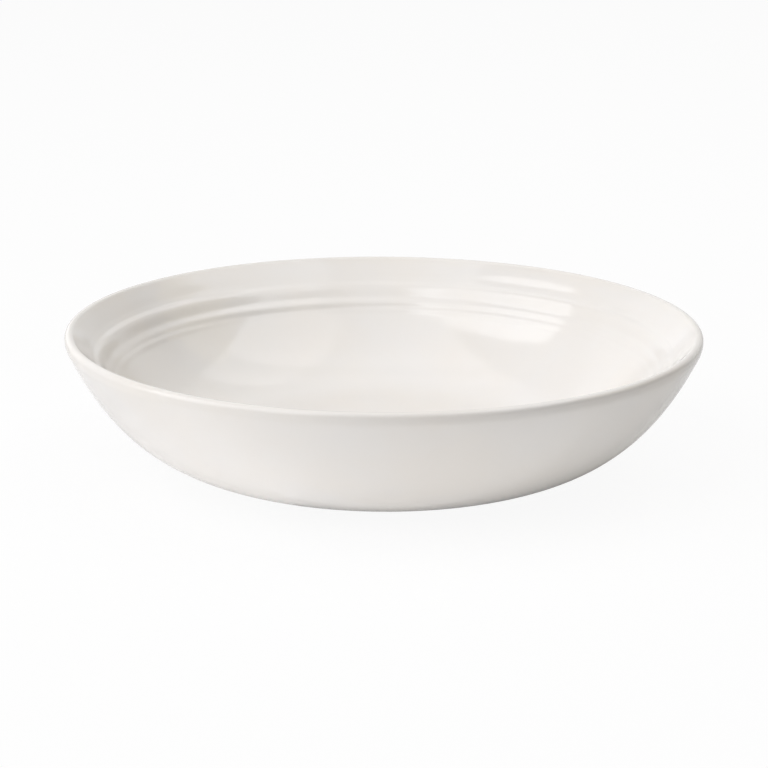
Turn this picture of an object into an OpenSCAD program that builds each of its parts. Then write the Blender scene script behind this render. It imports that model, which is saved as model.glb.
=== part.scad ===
// A wide, shallow stoneware bowl with three throwing rings inside, under a clear-edged cream glaze.
// The clay body is one turned form. Glass coats lie on it inside and out, and inside the foot ring.
// All sizes are millimetres. +Z is up, and the bowl stands on z = 0 round the Z axis.

/* [Bowl] */
// Diameter over the lip, glaze included
bowl_d = 220; // [206:1:260]
// Height from the table to the top of the lip, glaze included
bowl_h = 50; // [46:1:60]

/* [Lip and outer wall] */
// Thickness of the rounded lip, glaze included
lip_w = 3.6; // [2.4:0.1:4.8]
// Radius that turns the upright side of the lip into the outer wall
shoulder_r = 6.5; // [5:0.5:9]
// Slope of the outer wall just under the shoulder, in degrees from level
wall_top_slope = 64; // [58:1:70]
// Slope of the outer wall where it meets the foot, in degrees from level
wall_foot_slope = 6; // [3:1:12]

/* [Inside] */
// Slope of the flared wall just inside the lip, in degrees from level
flare_slope = 45; // [40:1:50]
// Radius of the gently dished floor
floor_r = 50; // [42:1:56]
// Slope of the floor at its edge, in degrees from level
floor_slope = 4; // [2:0.5:6]
// Thickness of the clay in the middle of the base
base_t = 5.4; // [4.5:0.1:7]

/* [Throwing rings] */
// Depth of the first ring's crest below the lip
ring_1_drop = 10; // [9.4:0.1:10.6]
// Height of the band that the first ring fills
ring_1_w = 5.6; // [4.8:0.1:6.4]
// How far the first ring stands out of the wall
ring_1_h = 0.65; // [0.4:0.05:0.9]
// Depth of the second ring's crest below the lip
ring_2_drop = 14.8; // [14.3:0.1:15.3]
// Height of the band that the second ring fills
ring_2_w = 4.4; // [3.6:0.1:4.8]
// How far the second ring stands out of the wall
ring_2_h = 0.3; // [0.15:0.05:0.5]
// Depth of the third ring's crest below the lip
ring_3_drop = 17.6; // [17:0.1:18.2]
// Height of the band that the third ring fills
ring_3_w = 3.2; // [2.6:0.1:3.6]
// How far the third ring stands out of the wall
ring_3_h = 0.12; // [0.06:0.02:0.3]

/* [Foot ring] */
// Outside diameter of the foot ring at the table
foot_d = 108; // [96:1:116]
// Height of the foot ring's outer side up to the wall
foot_h = 2.4; // [2.2:0.1:4]
// Width of the flat face that the bowl stands on
foot_face_w = 3; // [2:0.1:5]
// Radius on both edges of the standing face
foot_edge_r = 0.5; // [0.3:0.05:0.6]
// Lean of the foot ring's outer side, in degrees from upright
foot_outer_lean = 10; // [4:1:20]
// Lean of the foot ring's inner side, in degrees from upright
foot_inner_lean = 30; // [15:1:40]
// Radius of the hollow corner between the foot ring and the wall
foot_fillet_r = 1; // [0.6:0.1:1.2]
// Height of the recess inside the foot ring
recess_h = 2.2; // [2:0.1:3.5]
// Radius of the hollow corner at the recess's edge
recess_fillet_r = 1; // [0.6:0.1:1.1]

/* [Glaze] */
// Thickness of the fired glaze
glaze_t = 0.35; // [0.2:0.05:0.5]
// Height of the bare clay left round the standing face
bare_h = 0.8; // [0.65:0.05:1]
// Length over which the glaze swells from its edge to its full thickness
glaze_roll = 0.45; // [0.3:0.05:0.6]

/* [Hidden] */
$fn = 180;
clay_color = "#cdbca4";
glaze_color = "#f1ede6";

// Angle between neighbouring points of an arc, and the number of steps in the other stretches
arc_step = 8;
wall_steps = 48;
inside_steps = 120;
floor_steps = 10;
glazed_edge_steps = 8;
// Points closer than this count as one
same_point = 0.0005;

// How far each end of a wall curve keeps its own direction, as a share of the curve's chord
wall_foot_hold_share = 0.40;
wall_top_hold_share = 0.38;
inside_top_hold_share = 0.42;
inside_floor_hold_share = 0.46;

// The clay is smaller than the glazed bowl by the glaze
clay_r = bowl_d / 2 - glaze_t;
clay_h = bowl_h - glaze_t;
lip_r = lip_w / 2 - glaze_t;
clay_shoulder_r = shoulder_r - glaze_t;
lip_centre = [clay_r - lip_r, clay_h - lip_r];
foot_r = foot_d / 2;

// A point at an angle and a distance from a centre
function polar(centre, r, angle) = centre + r * [cos(angle), sin(angle)];

// Points along an arc
function arc(centre, r, from, to) =
    let (n = max(2, ceil(abs(to - from) / arc_step)))
    [for (i = [0:n]) polar(centre, r, from + (to - from) * i / n)];

// Points along a straight stretch
function straight(p, q, n) = [for (i = [0:n]) p + (q - p) * i / n];

// Points along a curve that leaves p at from_angle and arrives at q at to_angle
function curve(p, from_angle, from_share, q, to_angle, to_share, n) =
    let (
        chord = norm(q - p),
        a = polar(p, chord * from_share, from_angle),
        b = polar(q, -chord * to_share, to_angle)
    )
    [for (i = [0:n])
        let (u = i / n, v = 1 - u)
        v * v * v * p + 3 * u * v * v * a + 3 * u * u * v * b + u * u * u * q];

// The same points without repeats
function distinct(points) =
    [for (i = [0:len(points) - 1])
        if (i == 0 || norm(points[i] - points[max(i - 1, 0)]) > same_point) points[i]];

// Direction that points to the right of the way along the points
function side_way(points, i) =
    let (
        ahead = points[min(i + 1, len(points) - 1)],
        behind = points[max(i - 1, 0)],
        way = (ahead - behind) / norm(ahead - behind)
    )
    [way[1], -way[0]];

function reversed(points) = [for (i = [len(points) - 1:-1:0]) points[i]];

// Height of a ring at a place given as a share of the ring's band, from -0.5 to 0.5
function ring_swell(place) = abs(place) < 0.5 ? (1 + cos(360 * place)) / 2 : 0;

// Relief of all three rings at a depth below the lip
function rings_relief(drop) =
    ring_1_h * ring_swell((drop - ring_1_drop) / ring_1_w)
    + ring_2_h * ring_swell((drop - ring_2_drop) / ring_2_w)
    + ring_3_h * ring_swell((drop - ring_3_drop) / ring_3_w);

// Outer side of the foot ring, from its rounded edge to its hollow corner
outer_edge_centre = [foot_r - foot_edge_r, foot_edge_r];
outer_side_low = polar(outer_edge_centre, foot_edge_r, -foot_outer_lean);
fillet_z = foot_h - foot_fillet_r * cos(wall_foot_slope);
fillet_out = foot_fillet_r + (fillet_z - outer_side_low[1]) * sin(foot_outer_lean);
fillet_centre = [outer_side_low[0] + fillet_out / cos(foot_outer_lean), fillet_z];
outer_side_high = polar(fillet_centre, foot_fillet_r, 180 - foot_outer_lean);
outer_bare_share = (bare_h - outer_side_low[1]) / (outer_side_high[1] - outer_side_low[1]);
outer_glaze_stop = outer_side_low + outer_bare_share * (outer_side_high - outer_side_low);

// Inner side of the foot ring, from its rounded edge to the corner of the recess
inner_edge_centre = [foot_r - foot_edge_r - foot_face_w, foot_edge_r];
inner_side_low = polar(inner_edge_centre, foot_edge_r, 180 + foot_inner_lean);
recess_fillet_z = recess_h - recess_fillet_r;
recess_in = recess_fillet_r + (recess_fillet_z - inner_side_low[1]) * sin(foot_inner_lean);
recess_fillet_x = inner_side_low[0] - recess_in / cos(foot_inner_lean);
recess_fillet_centre = [recess_fillet_x, recess_fillet_z];
inner_side_high = polar(recess_fillet_centre, recess_fillet_r, foot_inner_lean);
inner_bare_share = (bare_h - inner_side_low[1]) / (inner_side_high[1] - inner_side_low[1]);
inner_glaze_stop = inner_side_low + inner_bare_share * (inner_side_high - inner_side_low);

// Where the wall's curves start and end
wall_foot = polar(fillet_centre, foot_fillet_r, 90 + wall_foot_slope);
shoulder_centre = [clay_r - clay_shoulder_r, lip_centre[1]];
wall_top = polar(shoulder_centre, clay_shoulder_r, wall_top_slope - 90);
flare_top = polar(lip_centre, lip_r, 90 + flare_slope);
dish_r = floor_r / sin(floor_slope);
floor_z = recess_h + base_t;
dish_centre = [0, floor_z + dish_r];
floor_edge = polar(dish_centre, dish_r, floor_slope - 90);

// The inside wall before its rings, from the lip to the floor
plain_inside = curve(flare_top, 180 + flare_slope, inside_top_hold_share,
    floor_edge, 180 + floor_slope, inside_floor_hold_share, inside_steps);
ringed_inside = [for (i = [0:inside_steps])
    plain_inside[i] + rings_relief(bowl_h - plain_inside[i][1]) * side_way(plain_inside, i)];

// Clay under the main coat: from the glaze's edge on the foot, up the outer wall, over the lip and
// down the inside to the middle of the floor
coated_clay = distinct(concat(
    straight(outer_glaze_stop, outer_side_high, glazed_edge_steps),
    arc(fillet_centre, foot_fillet_r, 180 - foot_outer_lean, 90 + wall_foot_slope),
    curve(wall_foot, wall_foot_slope, wall_foot_hold_share,
        wall_top, wall_top_slope, wall_top_hold_share, wall_steps),
    arc(shoulder_centre, clay_shoulder_r, wall_top_slope - 90, 0),
    arc(lip_centre, lip_r, 0, 90 + flare_slope),
    ringed_inside,
    [for (i = [0:floor_steps]) polar(dish_centre, dish_r, (floor_slope * (1 - i / floor_steps)) - 90)]
));

// Clay under the recess's coat, from the middle out to the glaze's edge on the foot
coated_recess = distinct(concat(
    straight([0, recess_h], [recess_fillet_centre[0], recess_h], floor_steps),
    arc(recess_fillet_centre, recess_fillet_r, 90, foot_inner_lean),
    straight(inner_side_high, inner_glaze_stop, glazed_edge_steps)
));

// Bare clay of the standing ring, from the recess's coat to the main coat
bare_foot = concat(
    arc(inner_edge_centre, foot_edge_r, 180 + foot_inner_lean, 270),
    arc(outer_edge_centre, foot_edge_r, -90, -foot_outer_lean)
);

// Thickness of the glaze at a distance from its edge
function glaze_depth(distance) =
    let (left = 1 - min(1, distance / glaze_roll))
    glaze_t * sqrt(1 - left * left);

// Surface of a coat over clay points, rounded down to nothing at its edge and ended on the axis
function coat_face(clay, edge) =
    [for (i = [0:len(clay) - 1])
        let (face = clay[i] + glaze_depth(norm(clay[i] - edge)) * side_way(clay, i))
        [clay[i][0] > 0 ? face[0] : 0, face[1]]];

// The solid of a coat: its surface one way, and the clay under it the other way
module coat(clay, edge) {
    rotate_extrude()
        polygon(distinct(concat(coat_face(clay, edge), reversed(clay))));
}

module stoneware_body() {
    color(clay_color)
        rotate_extrude()
            polygon(distinct(concat(coated_recess, bare_foot, coated_clay)));
}

module glaze_coat() {
    color(glaze_color)
        coat(coated_clay, outer_glaze_stop);
}

module base_glaze() {
    color(glaze_color)
        coat(coated_recess, inner_glaze_stop);
}

stoneware_body();
glaze_coat();
base_glaze();
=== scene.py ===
"""A wide, shallow stoneware bowl under a glossy cream glaze, on a pale floor in soft studio light.

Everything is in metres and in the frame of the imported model: +Z is up, the bowl is turned round the
Z axis, and it stands on z = 0. Outlines are lists of (distance from the axis, height).
"""

from math import ceil, cos, pi, radians, sin

import bpy
import numpy as np
from mathutils import Matrix, Vector


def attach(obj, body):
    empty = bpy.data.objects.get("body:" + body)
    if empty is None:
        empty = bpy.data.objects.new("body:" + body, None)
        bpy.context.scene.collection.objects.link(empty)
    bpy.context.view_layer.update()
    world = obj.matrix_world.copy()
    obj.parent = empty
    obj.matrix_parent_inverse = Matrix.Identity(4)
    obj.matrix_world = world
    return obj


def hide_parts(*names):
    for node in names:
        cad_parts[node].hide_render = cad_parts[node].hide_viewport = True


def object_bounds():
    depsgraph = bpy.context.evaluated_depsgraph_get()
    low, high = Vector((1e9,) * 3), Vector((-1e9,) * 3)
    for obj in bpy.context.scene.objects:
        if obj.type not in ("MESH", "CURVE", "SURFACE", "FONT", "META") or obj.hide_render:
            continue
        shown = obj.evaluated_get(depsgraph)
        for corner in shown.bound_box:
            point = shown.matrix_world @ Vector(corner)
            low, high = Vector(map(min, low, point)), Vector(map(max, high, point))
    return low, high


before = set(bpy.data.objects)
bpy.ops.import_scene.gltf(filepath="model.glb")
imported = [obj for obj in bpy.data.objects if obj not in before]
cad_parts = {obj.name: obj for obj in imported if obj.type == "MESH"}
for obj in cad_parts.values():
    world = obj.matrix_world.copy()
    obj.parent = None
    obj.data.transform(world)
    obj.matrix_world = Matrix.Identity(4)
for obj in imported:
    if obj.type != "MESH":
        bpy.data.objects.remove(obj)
cad_box = [list(corner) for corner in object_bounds()]

# Camera, as the photograph was taken: it looks along +Y and down at the bowl. Angles here and below
# are in degrees
CAMERA_DISTANCE = 1.0
CAMERA_ELEVATION = 15.41
CAMERA_ROLL = 0.315
CAMERA_AIM = (0.00013, 0.0, 0.02926)
CAMERA_LENS_MM = 134.84
SENSOR_MM = 36.0

# The glazed bowl, its lip and its outer wall. Slopes are degrees from level, leans degrees from upright
BOWL_R = min(min(-low, high) for low, high in list(zip(*cad_box))[:2])
BOWL_H = cad_box[1][2]
LIP_W = 0.0036
SHOULDER_R = 0.0065
WALL_TOP_SLOPE = 64
WALL_FOOT_SLOPE = 6
WALL_FOOT_HOLD = 0.40
WALL_TOP_HOLD = 0.38

# The inside
FLARE_SLOPE = 45
FLOOR_R = 0.050
FLOOR_SLOPE = 4
BASE_T = 0.0054
INSIDE_TOP_HOLD = 0.42
INSIDE_FLOOR_HOLD = 0.46

# Throwing rings. Each rises to a crest at a depth below the lip and falls away under it. The crest
# drifts lower towards one azimuth, and the ring is strong at an azimuth and some times in all round the
# bowl, and fades to a share of its height in between. The first row is the shallow hollow that the
# thumb left over the first ring
RINGS = (
    dict(crest=0.00660, rise=0.0032, fall=0.0006, height=-0.00012, drift=0.0, drift_to=0,
         fade_to=0.1, times=3, strong_at=45),
    dict(crest=0.00970, rise=0.0022, fall=0.0042, height=0.00084, drift=0.00005, drift_to=60,
         fade_to=0.35, times=3, strong_at=162),
    dict(crest=0.01470, rise=0.0021, fall=0.0021, height=0.00036, drift=0.00010, drift_to=165,
         fade_to=0.4, times=2, strong_at=112),
    dict(crest=0.01700, rise=0.0013, fall=0.0016, height=0.00023, drift=0.0, drift_to=0,
         fade_to=0.0, times=4, strong_at=158),
)

# The foot ring
FOOT_R = 0.054
FOOT_H = 0.0024
FOOT_FACE_W = 0.003
FOOT_EDGE_R = 0.0005
FOOT_OUTER_LEAN = 10
FOOT_INNER_LEAN = 30
FOOT_FILLET_R = 0.001
RECESS_H = 0.0022
RECESS_FILLET_R = 0.001

# The glaze
GLAZE_T = 0.00035
BARE_H = 0.0008
GLAZE_ROLL = 0.00045

# How far the bowl is from a perfect turning: its lip dips and is squeezed in, and the glaze's edge
# wanders up and down. Each goes round the bowl in waves of (times round, start in degrees, share)
LIP_DIP = 0.00025
LIP_DIP_WAVES = ((1, 205, 2), (2, 80, 1), (3, 260, 1))
LIP_SQUEEZE = 0.00010
LIP_SQUEEZE_WAVES = ((2, 40, 2), (3, 200, 1))
GLAZE_EDGE_WANDER = 0.00016
GLAZE_EDGE_WAVES = ((5, 40, 1), (9, 200, 0.8), (14, 10, 0.5), (23, 0, 0.3))

# Where the glaze runs thin: how far from the lip's centre, the relief at which a ring's crest is at its
# thinnest, and how thin that is
LIP_THIN_REACH = 0.0026
CREST_THIN_RELIEF = 0.0007
CREST_THIN_SHARE = 0.35

# The range that most values of a noise lie in, and a narrower one for a plainer contrast
NOISE_RANGE = (0.3, 0.7)
NOISE_CORE = (0.35, 0.65)

# The glaze's colours and finish. Where it is thinnest, it takes a share of the thin colour, and its
# grains take more. Sizes and depths of its textures are in metres
GLAZE_COLOUR_COOL = (0.862, 0.840, 0.811)
GLAZE_COLOUR_WARM = (0.868, 0.834, 0.789)
GLAZE_COLOUR_THIN = (0.80, 0.70, 0.57)
THIN_SHARE = 0.05
THIN_GRAIN = 0.06
GLAZE_ROUGHNESS = (0.085, 0.115)
GLAZE_IOR = 1.5
GLAZE_CLOUD_SIZE = 0.035
GLAZE_GRAIN_SIZE = 0.0006
GLAZE_WAVE_SIZE = 0.016
GLAZE_WAVE_DEPTH = 0.00004
GLAZE_PEEL_SIZE = 0.0022
GLAZE_PEEL_DEPTH = 0.000009

# The bare clay's colours and finish
CLAY_COLOUR_LIGHT = (0.62, 0.51, 0.385)
CLAY_COLOUR_DARK = (0.54, 0.43, 0.315)
CLAY_COLOUR_SAND = (0.72, 0.64, 0.52)
CLAY_COLOUR_IRON = (0.16, 0.10, 0.065)
CLAY_SAND_SHARE = 0.5
CLAY_SAND_RANGE = (0.35, 0.75)
CLAY_SPECK_RANGE = (0.68, 0.74)
CLAY_ROUGHNESS = (0.80, 0.92)
CLAY_SAND_SIZE = 0.0007
CLAY_SAND_FINENESS = 0.65
CLAY_PATCH_SIZE = 0.012
CLAY_SPECK_SIZE = 0.0011
CLAY_SAND_DEPTH = 0.00006

# The floor: how far it lies under the foot, its grey as a matt surface, and how far it is plain white
# where it is seen and where the glaze mirrors it
FLOOR_RADIUS = 6
FLOOR_SIDES = 64
FLOOR_GAP = 0.00005
FLOOR_GREY = 0.94
FLOOR_WHITE_SEEN = 0.93
FLOOR_WHITE_IN_GLAZE = 0.25

# The dim end of the room in the glaze: how white it is, and how far to the right it fades in, as the
# X of a direction
DIM_END_IN_GLAZE = 0.15
DIM_END_FADE = (0.62, 0.85)

# Colours of the lamps
COOL_LIGHT = (1, 0.998, 1.009)
WARM_LIGHT = (1, 0.85, 0.50)

# The key, a large soft box from the front left, in two halves of which the upper is brighter. It faces
# the bowl from an azimuth, an elevation and a distance, and is slid clockwise in its own plane
KEY_AZIMUTH = 224
KEY_ELEVATION = 37.4
KEY_DISTANCE = 1.5
KEY_W = 1.72
KEY_HALF_H = 0.845
KEY_SLIDE = 0.46
KEY_HIGH_RADIANCE = 2.58
KEY_LOW_RADIANCE = 1.26

# The roof, a level diffuser with panels of different brightness over x and y
ROOF_Z = 1.33
ROOF_PANELS = (
    dict(name="roof_left", x=(-0.5, 0.3), y=(-0.9, 0.5), radiance=1.20),
    dict(name="roof_right", x=(0.3, 1.05), y=(-0.45, 0.5), radiance=2.18),
    dict(name="roof_right_front", x=(0.3, 1.05), y=(-0.9, -0.45), radiance=0.65),
    dict(name="roof_right_rear", x=(0.3, 1.05), y=(0.5, 1.2), radiance=1.13),
    dict(name="roof_left_rear", x=(-0.5, 0.3), y=(0.5, 1.2), radiance=0.59),
    dict(name="roof_back", x=(-0.5, 1.05), y=(1.2, 3.4), radiance=0.24),
    dict(name="roof_far_right", x=(1.05, 1.6), y=(-0.45, 1.2), radiance=0.20),
)

# Soft boxes farther off that face the bowl
FAR_BOXES = (
    dict(name="left_box", azimuth=190, elevation=14, distance=2.6, size=(1.8, 1.3), radiance=1.30),
    dict(name="back_left_box", azimuth=134, elevation=16, distance=2.6, size=(3.0, 1.7), radiance=0.31),
    dict(name="right_box", azimuth=15, elevation=38, distance=3.0, size=(1.5, 1.3), radiance=0.66,
         colour=WARM_LIGHT),
)

# Level soft boxes low in front of the bowl and at its left. They face up, and light it as pale cards
# on the floor would
CARD_Z = 0.001
CARDS = (
    dict(name="front_card", x=(-0.12, 0.13), y=(-0.6, -0.07), radiance=0.21),
    dict(name="left_card", x=(-0.115, -0.03), y=(-0.10, -0.01), radiance=0.10),
)

# Mesh
ROUND_STEPS = 240
ARC_STEP = 8
WALL_STEPS = 36
INSIDE_STEPS = 150
FLOOR_STEPS = 12
EDGE_STEPS = 8
SAME_POINT = 0.000002


def make_camera():
    """The photograph's camera. The picture's centre is the aim, so the lens needs no shift."""
    data = bpy.data.cameras.new("photo_camera")
    data.sensor_width = SENSOR_MM
    data.lens = CAMERA_LENS_MM
    camera = bpy.data.objects.new("photo_camera", data)
    bpy.context.scene.collection.objects.link(camera)
    tilt = radians(CAMERA_ELEVATION)
    away = Vector((0, -cos(tilt), sin(tilt))) * CAMERA_DISTANCE
    turn = away.to_track_quat("Z", "Y").to_matrix() @ Matrix.Rotation(radians(CAMERA_ROLL), 3, "Z")
    camera.matrix_world = Matrix.Translation(Vector(CAMERA_AIM) + away) @ turn.to_4x4()
    bpy.context.scene.camera = camera


make_camera()


def polar(centre, r, angle):
    """A point at an angle in degrees and a distance from a centre."""
    return np.array(centre) + r * np.array([cos(radians(angle)), sin(radians(angle))])


def arc(centre, r, start, end, steps=None):
    """Points along an arc. If no number of steps is given, none spans more than ARC_STEP."""
    if steps is None:
        steps = max(2, ceil(abs(end - start) / ARC_STEP))
    return [polar(centre, r, start + (end - start) * i / steps) for i in range(steps + 1)]


def straight(p, q, steps):
    """Points along a straight line, both ends included."""
    return [p + (q - p) * i / steps for i in range(steps + 1)]


def curve(p, start_angle, start_hold, q, end_angle, end_hold, steps):
    """A curve that leaves p at one angle and arrives at q at another. A hold is a share of the chord."""
    chord = np.linalg.norm(q - p)
    a = polar(p, chord * start_hold, start_angle)
    b = polar(q, -chord * end_hold, end_angle)
    found = []
    for i in range(steps + 1):
        u = i / steps
        v = 1 - u
        found.append(v**3 * p + 3 * u * v * v * a + 3 * u * u * v * b + u**3 * q)
    return found


def distinct(*stretches):
    """The stretches' points one after another, without repeats."""
    kept = []
    for point in (np.array(point, float) for stretch in stretches for point in stretch):
        if not kept or np.linalg.norm(point - kept[-1]) > SAME_POINT:
            kept.append(point)
    return np.array(kept)


def side_ways(points):
    """At each point, the direction to the right of the way along the points."""
    way = np.empty_like(points)
    way[1:-1] = points[2:] - points[:-2]
    way[0] = points[1] - points[0]
    way[-1] = points[-1] - points[-2]
    way /= np.linalg.norm(way, axis=1)[:, None]
    return np.stack([way[:, 1], -way[:, 0]], 1)


# Where the clay's arcs and curves start and end: the lip and the shoulder first, then both sides of the
# foot ring, then the walls and the floor between them
CLAY_R = BOWL_R - GLAZE_T
CLAY_H = BOWL_H - GLAZE_T
CLAY_LIP_R = LIP_W / 2 - GLAZE_T
CLAY_SHOULDER_R = SHOULDER_R - GLAZE_T
LIP_CENTRE = (CLAY_R - CLAY_LIP_R, CLAY_H - CLAY_LIP_R)
SHOULDER_CENTRE = (CLAY_R - CLAY_SHOULDER_R, LIP_CENTRE[1])

OUTER_EDGE_CENTRE = (FOOT_R - FOOT_EDGE_R, FOOT_EDGE_R)
OUTER_SIDE_LOW = polar(OUTER_EDGE_CENTRE, FOOT_EDGE_R, -FOOT_OUTER_LEAN)
FILLET_Z = FOOT_H - FOOT_FILLET_R * cos(radians(WALL_FOOT_SLOPE))
FILLET_OUT = FOOT_FILLET_R + (FILLET_Z - OUTER_SIDE_LOW[1]) * sin(radians(FOOT_OUTER_LEAN))
FILLET_CENTRE = (OUTER_SIDE_LOW[0] + FILLET_OUT / cos(radians(FOOT_OUTER_LEAN)), FILLET_Z)
OUTER_SIDE_HIGH = polar(FILLET_CENTRE, FOOT_FILLET_R, 180 - FOOT_OUTER_LEAN)

INNER_EDGE_CENTRE = (FOOT_R - FOOT_EDGE_R - FOOT_FACE_W, FOOT_EDGE_R)
INNER_SIDE_LOW = polar(INNER_EDGE_CENTRE, FOOT_EDGE_R, 180 + FOOT_INNER_LEAN)
RECESS_FILLET_Z = RECESS_H - RECESS_FILLET_R
RECESS_IN = RECESS_FILLET_R + (RECESS_FILLET_Z - INNER_SIDE_LOW[1]) * sin(radians(FOOT_INNER_LEAN))
RECESS_FILLET_CENTRE = (INNER_SIDE_LOW[0] - RECESS_IN / cos(radians(FOOT_INNER_LEAN)), RECESS_FILLET_Z)
INNER_SIDE_HIGH = polar(RECESS_FILLET_CENTRE, RECESS_FILLET_R, FOOT_INNER_LEAN)

WALL_FOOT = polar(FILLET_CENTRE, FOOT_FILLET_R, 90 + WALL_FOOT_SLOPE)
WALL_TOP = polar(SHOULDER_CENTRE, CLAY_SHOULDER_R, WALL_TOP_SLOPE - 90)
FLARE_TOP = polar(LIP_CENTRE, CLAY_LIP_R, 90 + FLARE_SLOPE)
DISH_R = FLOOR_R / sin(radians(FLOOR_SLOPE))
DISH_CENTRE = (0, RECESS_H + BASE_T + DISH_R)
FLOOR_EDGE = polar(DISH_CENTRE, DISH_R, FLOOR_SLOPE - 90)


def at_height(low, high, z):
    """The point at height z on the straight line from low to high."""
    return low + (high - low) * (z - low[1]) / (high[1] - low[1])


def main_clay(edge_z):
    """Clay under the main coat, from the glaze's edge on the foot up, over the lip and in to the axis."""
    edge = at_height(OUTER_SIDE_LOW, OUTER_SIDE_HIGH, edge_z)
    wall = curve(WALL_FOOT, WALL_FOOT_SLOPE, WALL_FOOT_HOLD,
                 WALL_TOP, WALL_TOP_SLOPE, WALL_TOP_HOLD, WALL_STEPS)
    inside = curve(FLARE_TOP, 180 + FLARE_SLOPE, INSIDE_TOP_HOLD,
                   FLOOR_EDGE, 180 + FLOOR_SLOPE, INSIDE_FLOOR_HOLD, INSIDE_STEPS)
    floor = arc(DISH_CENTRE, DISH_R, FLOOR_SLOPE - 90, -90, FLOOR_STEPS)
    return distinct(
        straight(edge, OUTER_SIDE_HIGH, EDGE_STEPS),
        arc(FILLET_CENTRE, FOOT_FILLET_R, 180 - FOOT_OUTER_LEAN, 90 + WALL_FOOT_SLOPE),
        wall,
        arc(SHOULDER_CENTRE, CLAY_SHOULDER_R, WALL_TOP_SLOPE - 90, 0),
        arc(LIP_CENTRE, CLAY_LIP_R, 0, 90 + FLARE_SLOPE),
        inside,
        floor,
    )


def recess_clay(edge_z):
    """Clay under the recess's coat, from the axis out to the glaze's edge on the foot."""
    edge = at_height(INNER_SIDE_LOW, INNER_SIDE_HIGH, edge_z)
    middle = np.array([0, RECESS_H])
    return distinct(
        straight(middle, np.array([RECESS_FILLET_CENTRE[0], RECESS_H]), FLOOR_STEPS),
        arc(RECESS_FILLET_CENTRE, RECESS_FILLET_R, 90, FOOT_INNER_LEAN),
        straight(INNER_SIDE_HIGH, edge, EDGE_STEPS),
    )


# Azimuths of a row's points
TURN = np.arange(ROUND_STEPS) * 2 * pi / ROUND_STEPS


def wander(*waves):
    """A smooth value from 0 to 1 at each azimuth. A wave is (times round, start in degrees, share)."""
    total = sum(share for _, _, share in waves)
    found = sum(share * (1 + np.cos(times * TURN - radians(start))) / 2 for times, start, share in waves)
    return found / total


def ring_relief(points, inner):
    """How far the throwing rings lift each point of an outline off the plain wall, round the bowl."""
    drop = (BOWL_H - points[:, 1])[:, None] + np.zeros(ROUND_STEPS)
    relief = np.zeros_like(drop)
    for ring in RINGS:
        below = drop - ring["crest"] - ring["drift"] * np.cos(TURN - radians(ring["drift_to"]))
        place = np.clip(np.where(below < 0, below / ring["rise"], below / ring["fall"]), -1, 1)
        strength = wander((ring["times"], ring["times"] * ring["strong_at"], 1))
        height = ring["height"] * (ring["fade_to"] + (1 - ring["fade_to"]) * strength)
        relief += height * (1 + np.cos(pi * place)) / 2
    return relief * inner[:, None]


def glaze_depth(points, edge):
    """Thickness of the glaze at each point, from nothing at its edge."""
    left = 1 - np.minimum(1, np.linalg.norm(points - edge, axis=1) / GLAZE_ROLL)
    return GLAZE_T * np.sqrt(1 - left * left)


def round_grid(outline, lift):
    """The grid of an outline turned round the axis, each point lifted sideways by its own amount.

    An outline is a function of the height of the glaze's edge. The edge wanders between two heights.
    """
    low = outline(BARE_H - GLAZE_EDGE_WANDER)
    high = outline(BARE_H + GLAZE_EDGE_WANDER)
    edge_wave = wander(*GLAZE_EDGE_WAVES)
    sides = side_ways(low)
    r = low[:, :1] + (high - low)[:, :1] * edge_wave + sides[:, :1] * lift
    z = low[:, 1:] + (high - low)[:, 1:] * edge_wave + sides[:, 1:] * lift
    r[low[:, 0] < SAME_POINT] = 0
    share = np.clip(z / BOWL_H, 0, 1) ** 2
    r = r - share * (r / BOWL_R) * LIP_SQUEEZE * wander(*LIP_SQUEEZE_WAVES)
    z = z - share * LIP_DIP * wander(*LIP_DIP_WAVES)
    return np.stack([r * np.cos(TURN), r * np.sin(TURN), z], 2)


def faces_between(rows, closed):
    """Faces between rows of point numbers that run round the bowl. If closed, the last meets the first."""
    faces = []
    for low, high in zip(rows, rows[1:] + (rows[:1] if closed else [])):
        for i in range(ROUND_STEPS):
            j = (i + 1) % ROUND_STEPS
            face = list(dict.fromkeys((low[i], low[j], high[j], high[i])))
            if len(face) > 2:
                faces.append(face)
    return faces


def mesh_from_rows(name, rows, thinness, closed):
    """A mesh through rows of points. A row on the axis becomes one point.

    Thinness, from 0 to 1, tells the material at each point how thin the glaze has run.
    """
    verts, index, values = [], [], []
    for row, value in zip(rows, thinness):
        first = len(verts)
        on_axis = np.hypot(row[:, 0], row[:, 1]).max() < SAME_POINT
        kept = 1 if on_axis else ROUND_STEPS
        verts.extend(row[:kept])
        values.extend(value[:kept])
        index.append([first + i % kept for i in range(ROUND_STEPS)])
    mesh = bpy.data.meshes.new(name)
    mesh.from_pydata([tuple(v) for v in verts], [], faces_between(index, closed))
    mesh.attributes.new("thinness", "FLOAT", "POINT").data.foreach_set("value", values)
    mesh.validate()
    mesh.shade_smooth()
    piece = bpy.data.objects.new(name, mesh)
    bpy.context.scene.collection.objects.link(piece)
    return piece


def is_inner(points):
    """1 for points of an outline past the top of the lip, 0 before it."""
    top = points[:, 1].argmax()
    return (np.arange(len(points)) > top).astype(float)


def thinness_of(points, edge, relief):
    """How thin the glaze runs: over the lip, on the rings' crests and next to its own edge."""
    over_lip = np.exp(-(np.linalg.norm(points - np.array(LIP_CENTRE), axis=1) / LIP_THIN_REACH) ** 4)
    at_edge = np.exp(-np.linalg.norm(points - edge, axis=1) / GLAZE_ROLL)
    on_crest = np.clip(relief / CREST_THIN_RELIEF, 0, 1)
    return np.clip(np.maximum(over_lip, at_edge)[:, None] + CREST_THIN_SHARE * on_crest, 0, 1)


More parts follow.
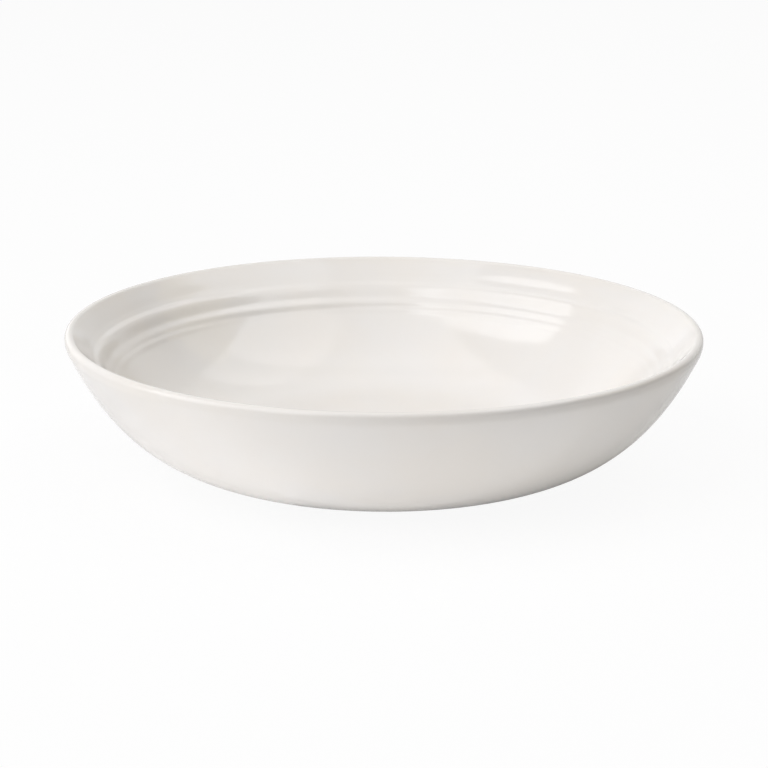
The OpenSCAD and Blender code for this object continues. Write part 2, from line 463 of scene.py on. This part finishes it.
def add_glaze():
    """The main coat. Its hidden side, on the clay, needs only every second row."""
    clay = main_clay(BARE_H)
    relief = ring_relief(clay, is_inner(clay))
    depth = glaze_depth(clay, clay[0])[:, None]
    face = round_grid(main_clay, relief + depth)
    under = round_grid(main_clay, relief)
    thin = thinness_of(clay, clay[0], relief)
    rows = list(face) + list(under[:0:-2])
    piece = mesh_from_rows("main_glaze", rows, list(thin) + list(thin[:0:-2]), True)
    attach(piece, "root")
    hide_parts("glaze_coat")
    return piece


def add_base_glaze():
    """The coat inside the foot ring."""
    clay = recess_clay(BARE_H)
    none = np.zeros((len(clay), ROUND_STEPS))
    depth = glaze_depth(clay, clay[-1])[:, None]
    face = round_grid(recess_clay, none + depth)
    under = round_grid(recess_clay, none)
    thin = thinness_of(clay, clay[-1], none)
    rows = list(face[:-1]) + list(under[::-1])
    piece = mesh_from_rows("recess_glaze", rows, list(thin[:-1]) + list(thin[::-1]), True)
    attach(piece, "root")
    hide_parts("base_glaze")
    return piece


def body_clay(edge_z):
    """The whole outline of the clay, from the middle of the recess round to the middle of the inside."""
    return distinct(
        recess_clay(edge_z),
        arc(INNER_EDGE_CENTRE, FOOT_EDGE_R, 180 + FOOT_INNER_LEAN, 270),
        arc(OUTER_EDGE_CENTRE, FOOT_EDGE_R, -90, -FOOT_OUTER_LEAN),
        main_clay(edge_z),
    )


def add_body():
    """The clay. It needs no closing, since its outline starts and ends on the axis."""
    clay = body_clay(BARE_H)
    relief = ring_relief(clay, is_inner(clay))
    rows = round_grid(body_clay, relief)
    piece = mesh_from_rows("clay_body", rows, np.zeros_like(relief), False)
    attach(piece, "root")
    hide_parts("stoneware_body")
    return piece


def new_material(name):
    """A material with nodes, and its nodes and links."""
    material = bpy.data.materials.new(name)
    material.use_nodes = True
    return material, material.node_tree.nodes, material.node_tree.links


def math_node(nodes, links, operation, *values):
    """A Math node with its inputs set from numbers or from other nodes' outputs."""
    node = nodes.new("ShaderNodeMath")
    node.operation = operation
    for socket, value in zip(node.inputs, values):
        if isinstance(value, (int, float)):
            socket.default_value = value
        else:
            links.new(value, socket)
    return node.outputs[0]


def noise(nodes, links, place, size, detail, roughness=0.5):
    """Smooth noise from 0 to 1 whose features are about so many metres across."""
    node = nodes.new("ShaderNodeTexNoise")
    links.new(place, node.inputs["Vector"])
    node.inputs["Scale"].default_value = 1 / size
    node.inputs["Detail"].default_value = detail
    node.inputs["Roughness"].default_value = roughness
    return node.outputs["Fac"]


def spread(nodes, links, value, old, new):
    """A value carried from the range old over to the range new, and held inside it."""
    node = nodes.new("ShaderNodeMapRange")
    links.new(value, node.inputs["Value"])
    for name, number in zip(("From Min", "From Max", "To Min", "To Max"), (*old, *new)):
        node.inputs[name].default_value = number
    return node.outputs["Result"]


def mixed(nodes, links, share, first, second):
    """A colour part of the way from the first to the second, each given as RGB or as another output."""
    node = nodes.new("ShaderNodeMix")
    node.data_type = "RGBA"
    links.new(share, node.inputs["Factor"])
    for socket, colour in zip((node.inputs["A"], node.inputs["B"]), (first, second)):
        if isinstance(colour, tuple):
            socket.default_value = (*colour, 1)
        else:
            links.new(colour, socket)
    return node.outputs["Result"]


def add_bump(nodes, links, height, depth, before=None):
    """A bump of so many metres between the height values 0 and 1."""
    node = nodes.new("ShaderNodeBump")
    node.inputs["Distance"].default_value = depth
    links.new(height, node.inputs["Height"])
    if before is not None:
        links.new(before, node.inputs["Normal"])
    return node.outputs["Normal"]


def glaze_material():
    """Glossy cream glaze: cloudy, warmer where it is thin, with a faint orange peel."""
    material, nodes, links = new_material("cream_glaze")
    shader = nodes["Principled BSDF"]
    place = nodes.new("ShaderNodeTexCoord").outputs["Object"]
    thin = nodes.new("ShaderNodeAttribute")
    thin.attribute_name = "thinness"
    clouds = noise(nodes, links, place, GLAZE_CLOUD_SIZE, 3)
    grains = noise(nodes, links, place, GLAZE_GRAIN_SIZE, 2)

    cloudy = mixed(nodes, links, spread(nodes, links, clouds, NOISE_CORE, (0, 1)),
                   GLAZE_COLOUR_COOL, GLAZE_COLOUR_WARM)
    grainy = spread(nodes, links, grains, NOISE_RANGE, (0, 1))
    thin_share = math_node(nodes, links, "MULTIPLY_ADD", grainy, THIN_GRAIN, THIN_SHARE)
    thin_share = math_node(nodes, links, "MULTIPLY", thin_share, thin.outputs["Fac"])
    links.new(mixed(nodes, links, thin_share, cloudy, GLAZE_COLOUR_THIN), shader.inputs["Base Color"])

    links.new(spread(nodes, links, clouds, NOISE_RANGE, GLAZE_ROUGHNESS), shader.inputs["Roughness"])
    shader.inputs["IOR"].default_value = GLAZE_IOR

    waves = noise(nodes, links, place, GLAZE_WAVE_SIZE, 1)
    peel = noise(nodes, links, place, GLAZE_PEEL_SIZE, 1)
    wavy = add_bump(nodes, links, waves, GLAZE_WAVE_DEPTH)
    links.new(add_bump(nodes, links, peel, GLAZE_PEEL_DEPTH, wavy), shader.inputs["Normal"])
    return material


def clay_material():
    """Bare buff stoneware: matt and sandy, with iron specks."""
    material, nodes, links = new_material("bare_clay")
    shader = nodes["Principled BSDF"]
    place = nodes.new("ShaderNodeTexCoord").outputs["Object"]
    sand = noise(nodes, links, place, CLAY_SAND_SIZE, 3, CLAY_SAND_FINENESS)
    patches = noise(nodes, links, place, CLAY_PATCH_SIZE, 2)
    specks = noise(nodes, links, place, CLAY_SPECK_SIZE, 1)
    toned = mixed(nodes, links, spread(nodes, links, patches, NOISE_RANGE, (0, 1)),
                  CLAY_COLOUR_LIGHT, CLAY_COLOUR_DARK)
    sandy = mixed(nodes, links, spread(nodes, links, sand, CLAY_SAND_RANGE, (0, CLAY_SAND_SHARE)),
                  toned, CLAY_COLOUR_SAND)
    speck_share = spread(nodes, links, specks, CLAY_SPECK_RANGE, (0, 1))
    links.new(mixed(nodes, links, speck_share, sandy, CLAY_COLOUR_IRON), shader.inputs["Base Color"])
    links.new(spread(nodes, links, sand, NOISE_RANGE, CLAY_ROUGHNESS), shader.inputs["Roughness"])
    links.new(add_bump(nodes, links, sand, CLAY_SAND_DEPTH), shader.inputs["Normal"])
    return material


def floor_material():
    """A pale matt floor. Seen directly it is mostly white, with the bowl's shadow left on it."""
    material, nodes, links = new_material("pale_floor")
    nodes.remove(nodes["Principled BSDF"])
    path = nodes.new("ShaderNodeLightPath").outputs
    seen = math_node(nodes, links, "MAXIMUM", path["Is Camera Ray"], path["Is Transmission Ray"])
    mirrored = math_node(nodes, links, "MULTIPLY", path["Is Glossy Ray"], FLOOR_WHITE_IN_GLAZE)
    share = math_node(nodes, links, "MULTIPLY_ADD", seen, FLOOR_WHITE_SEEN, mirrored)
    matt = nodes.new("ShaderNodeBsdfDiffuse")
    matt.inputs["Color"].default_value = (FLOOR_GREY, FLOOR_GREY, FLOOR_GREY, 1)
    white = nodes.new("ShaderNodeEmission")
    mix = nodes.new("ShaderNodeMixShader")
    links.new(share, mix.inputs[0])
    links.new(matt.outputs[0], mix.inputs[1])
    links.new(white.outputs[0], mix.inputs[2])
    links.new(mix.outputs[0], nodes["Material Output"].inputs["Surface"])
    material.cycles.emission_sampling = "NONE"
    return material


def add_floor():
    """A disc so wide that its edge is out of sight."""
    bpy.ops.mesh.primitive_circle_add(vertices=FLOOR_SIDES, radius=FLOOR_RADIUS, fill_type="NGON")
    floor = bpy.context.object
    floor.name = "floor"
    floor.location.z = -FLOOR_GAP
    floor.data.materials.append(floor_material())


def add_world():
    """White where it is seen, and in the glaze too, but for a dim end of the room at the right.

    The lamps alone light the bowl.
    """
    world = bpy.data.worlds.new("studio")
    bpy.context.scene.world = world
    world.use_nodes = True
    nodes, links = world.node_tree.nodes, world.node_tree.links
    path = nodes.new("ShaderNodeLightPath").outputs
    seen = math_node(nodes, links, "MAXIMUM", path["Is Camera Ray"], path["Is Transmission Ray"])
    split = nodes.new("ShaderNodeSeparateXYZ")
    links.new(nodes.new("ShaderNodeTexCoord").outputs["Generated"], split.inputs[0])
    room = spread(nodes, links, split.outputs["X"], DIM_END_FADE, (1, DIM_END_IN_GLAZE))
    mirrored = math_node(nodes, links, "MULTIPLY", path["Is Glossy Ray"], room)
    strength = math_node(nodes, links, "MAXIMUM", seen, mirrored)
    nodes["Background"].inputs["Color"].default_value = (1, 1, 1, 1)
    links.new(strength, nodes["Background"].inputs["Strength"])


def add_lamp(name, matrix, size, radiance, colour):
    """A rectangular soft box of an even radiance, which shines along its own -Z."""
    data = bpy.data.lights.new(name, "AREA")
    data.shape = "RECTANGLE"
    data.size, data.size_y = size
    data.energy = radiance * pi * size[0] * size[1]
    data.color = colour
    lamp = bpy.data.objects.new(name, data)
    lamp.matrix_world = matrix
    lamp.visible_camera = False
    bpy.context.scene.collection.objects.link(lamp)


def add_box(name, azimuth, elevation, distance, size, radiance, slide=0, lift=0, colour=COOL_LIGHT):
    """A soft box that faces the bowl. It may be slid clockwise and lifted in its own plane."""
    turn, tilt = radians(azimuth), radians(elevation)
    away = Vector((cos(tilt) * cos(turn), cos(tilt) * sin(turn), sin(tilt)))
    clockwise = Vector((sin(turn), -cos(turn), 0))
    up = clockwise.cross(away)
    place = away * distance + clockwise * slide + up * lift
    axes = Matrix((-clockwise, up, away)).transposed()
    add_lamp(name, Matrix.Translation(place) @ axes.to_4x4(), size, radiance, colour)


def add_level_box(name, x, y, z, radiance, faces_up=False):
    """A level soft box over x and y from low to high. It faces the floor unless it is to face up."""
    place = Matrix.Translation((sum(x) / 2, sum(y) / 2, z))
    turn = Matrix.Rotation(pi if faces_up else 0, 4, "X")
    add_lamp(name, place @ turn, (x[1] - x[0], y[1] - y[0]), radiance, COOL_LIGHT)


def add_studio_light():
    """The key in its two halves, the roof's panels, the far boxes and the cards."""
    for name, side, radiance in (("key_high", 1, KEY_HIGH_RADIANCE), ("key_low", -1, KEY_LOW_RADIANCE)):
        add_box(name, KEY_AZIMUTH, KEY_ELEVATION, KEY_DISTANCE, (KEY_W, KEY_HALF_H), radiance,
                slide=KEY_SLIDE, lift=side * KEY_HALF_H / 2)
    for panel in ROOF_PANELS:
        add_level_box(z=ROOF_Z, **panel)
    for box in FAR_BOXES:
        add_box(**box)
    for card in CARDS:
        add_level_box(z=CARD_Z, faces_up=True, **card)


glaze = glaze_material()
for piece in (add_glaze(), add_base_glaze()):
    piece.data.materials.append(glaze)
add_body().data.materials.append(clay_material())
add_floor()
add_world()
add_studio_light()
bpy.context.scene.view_settings.view_transform = "Standard"
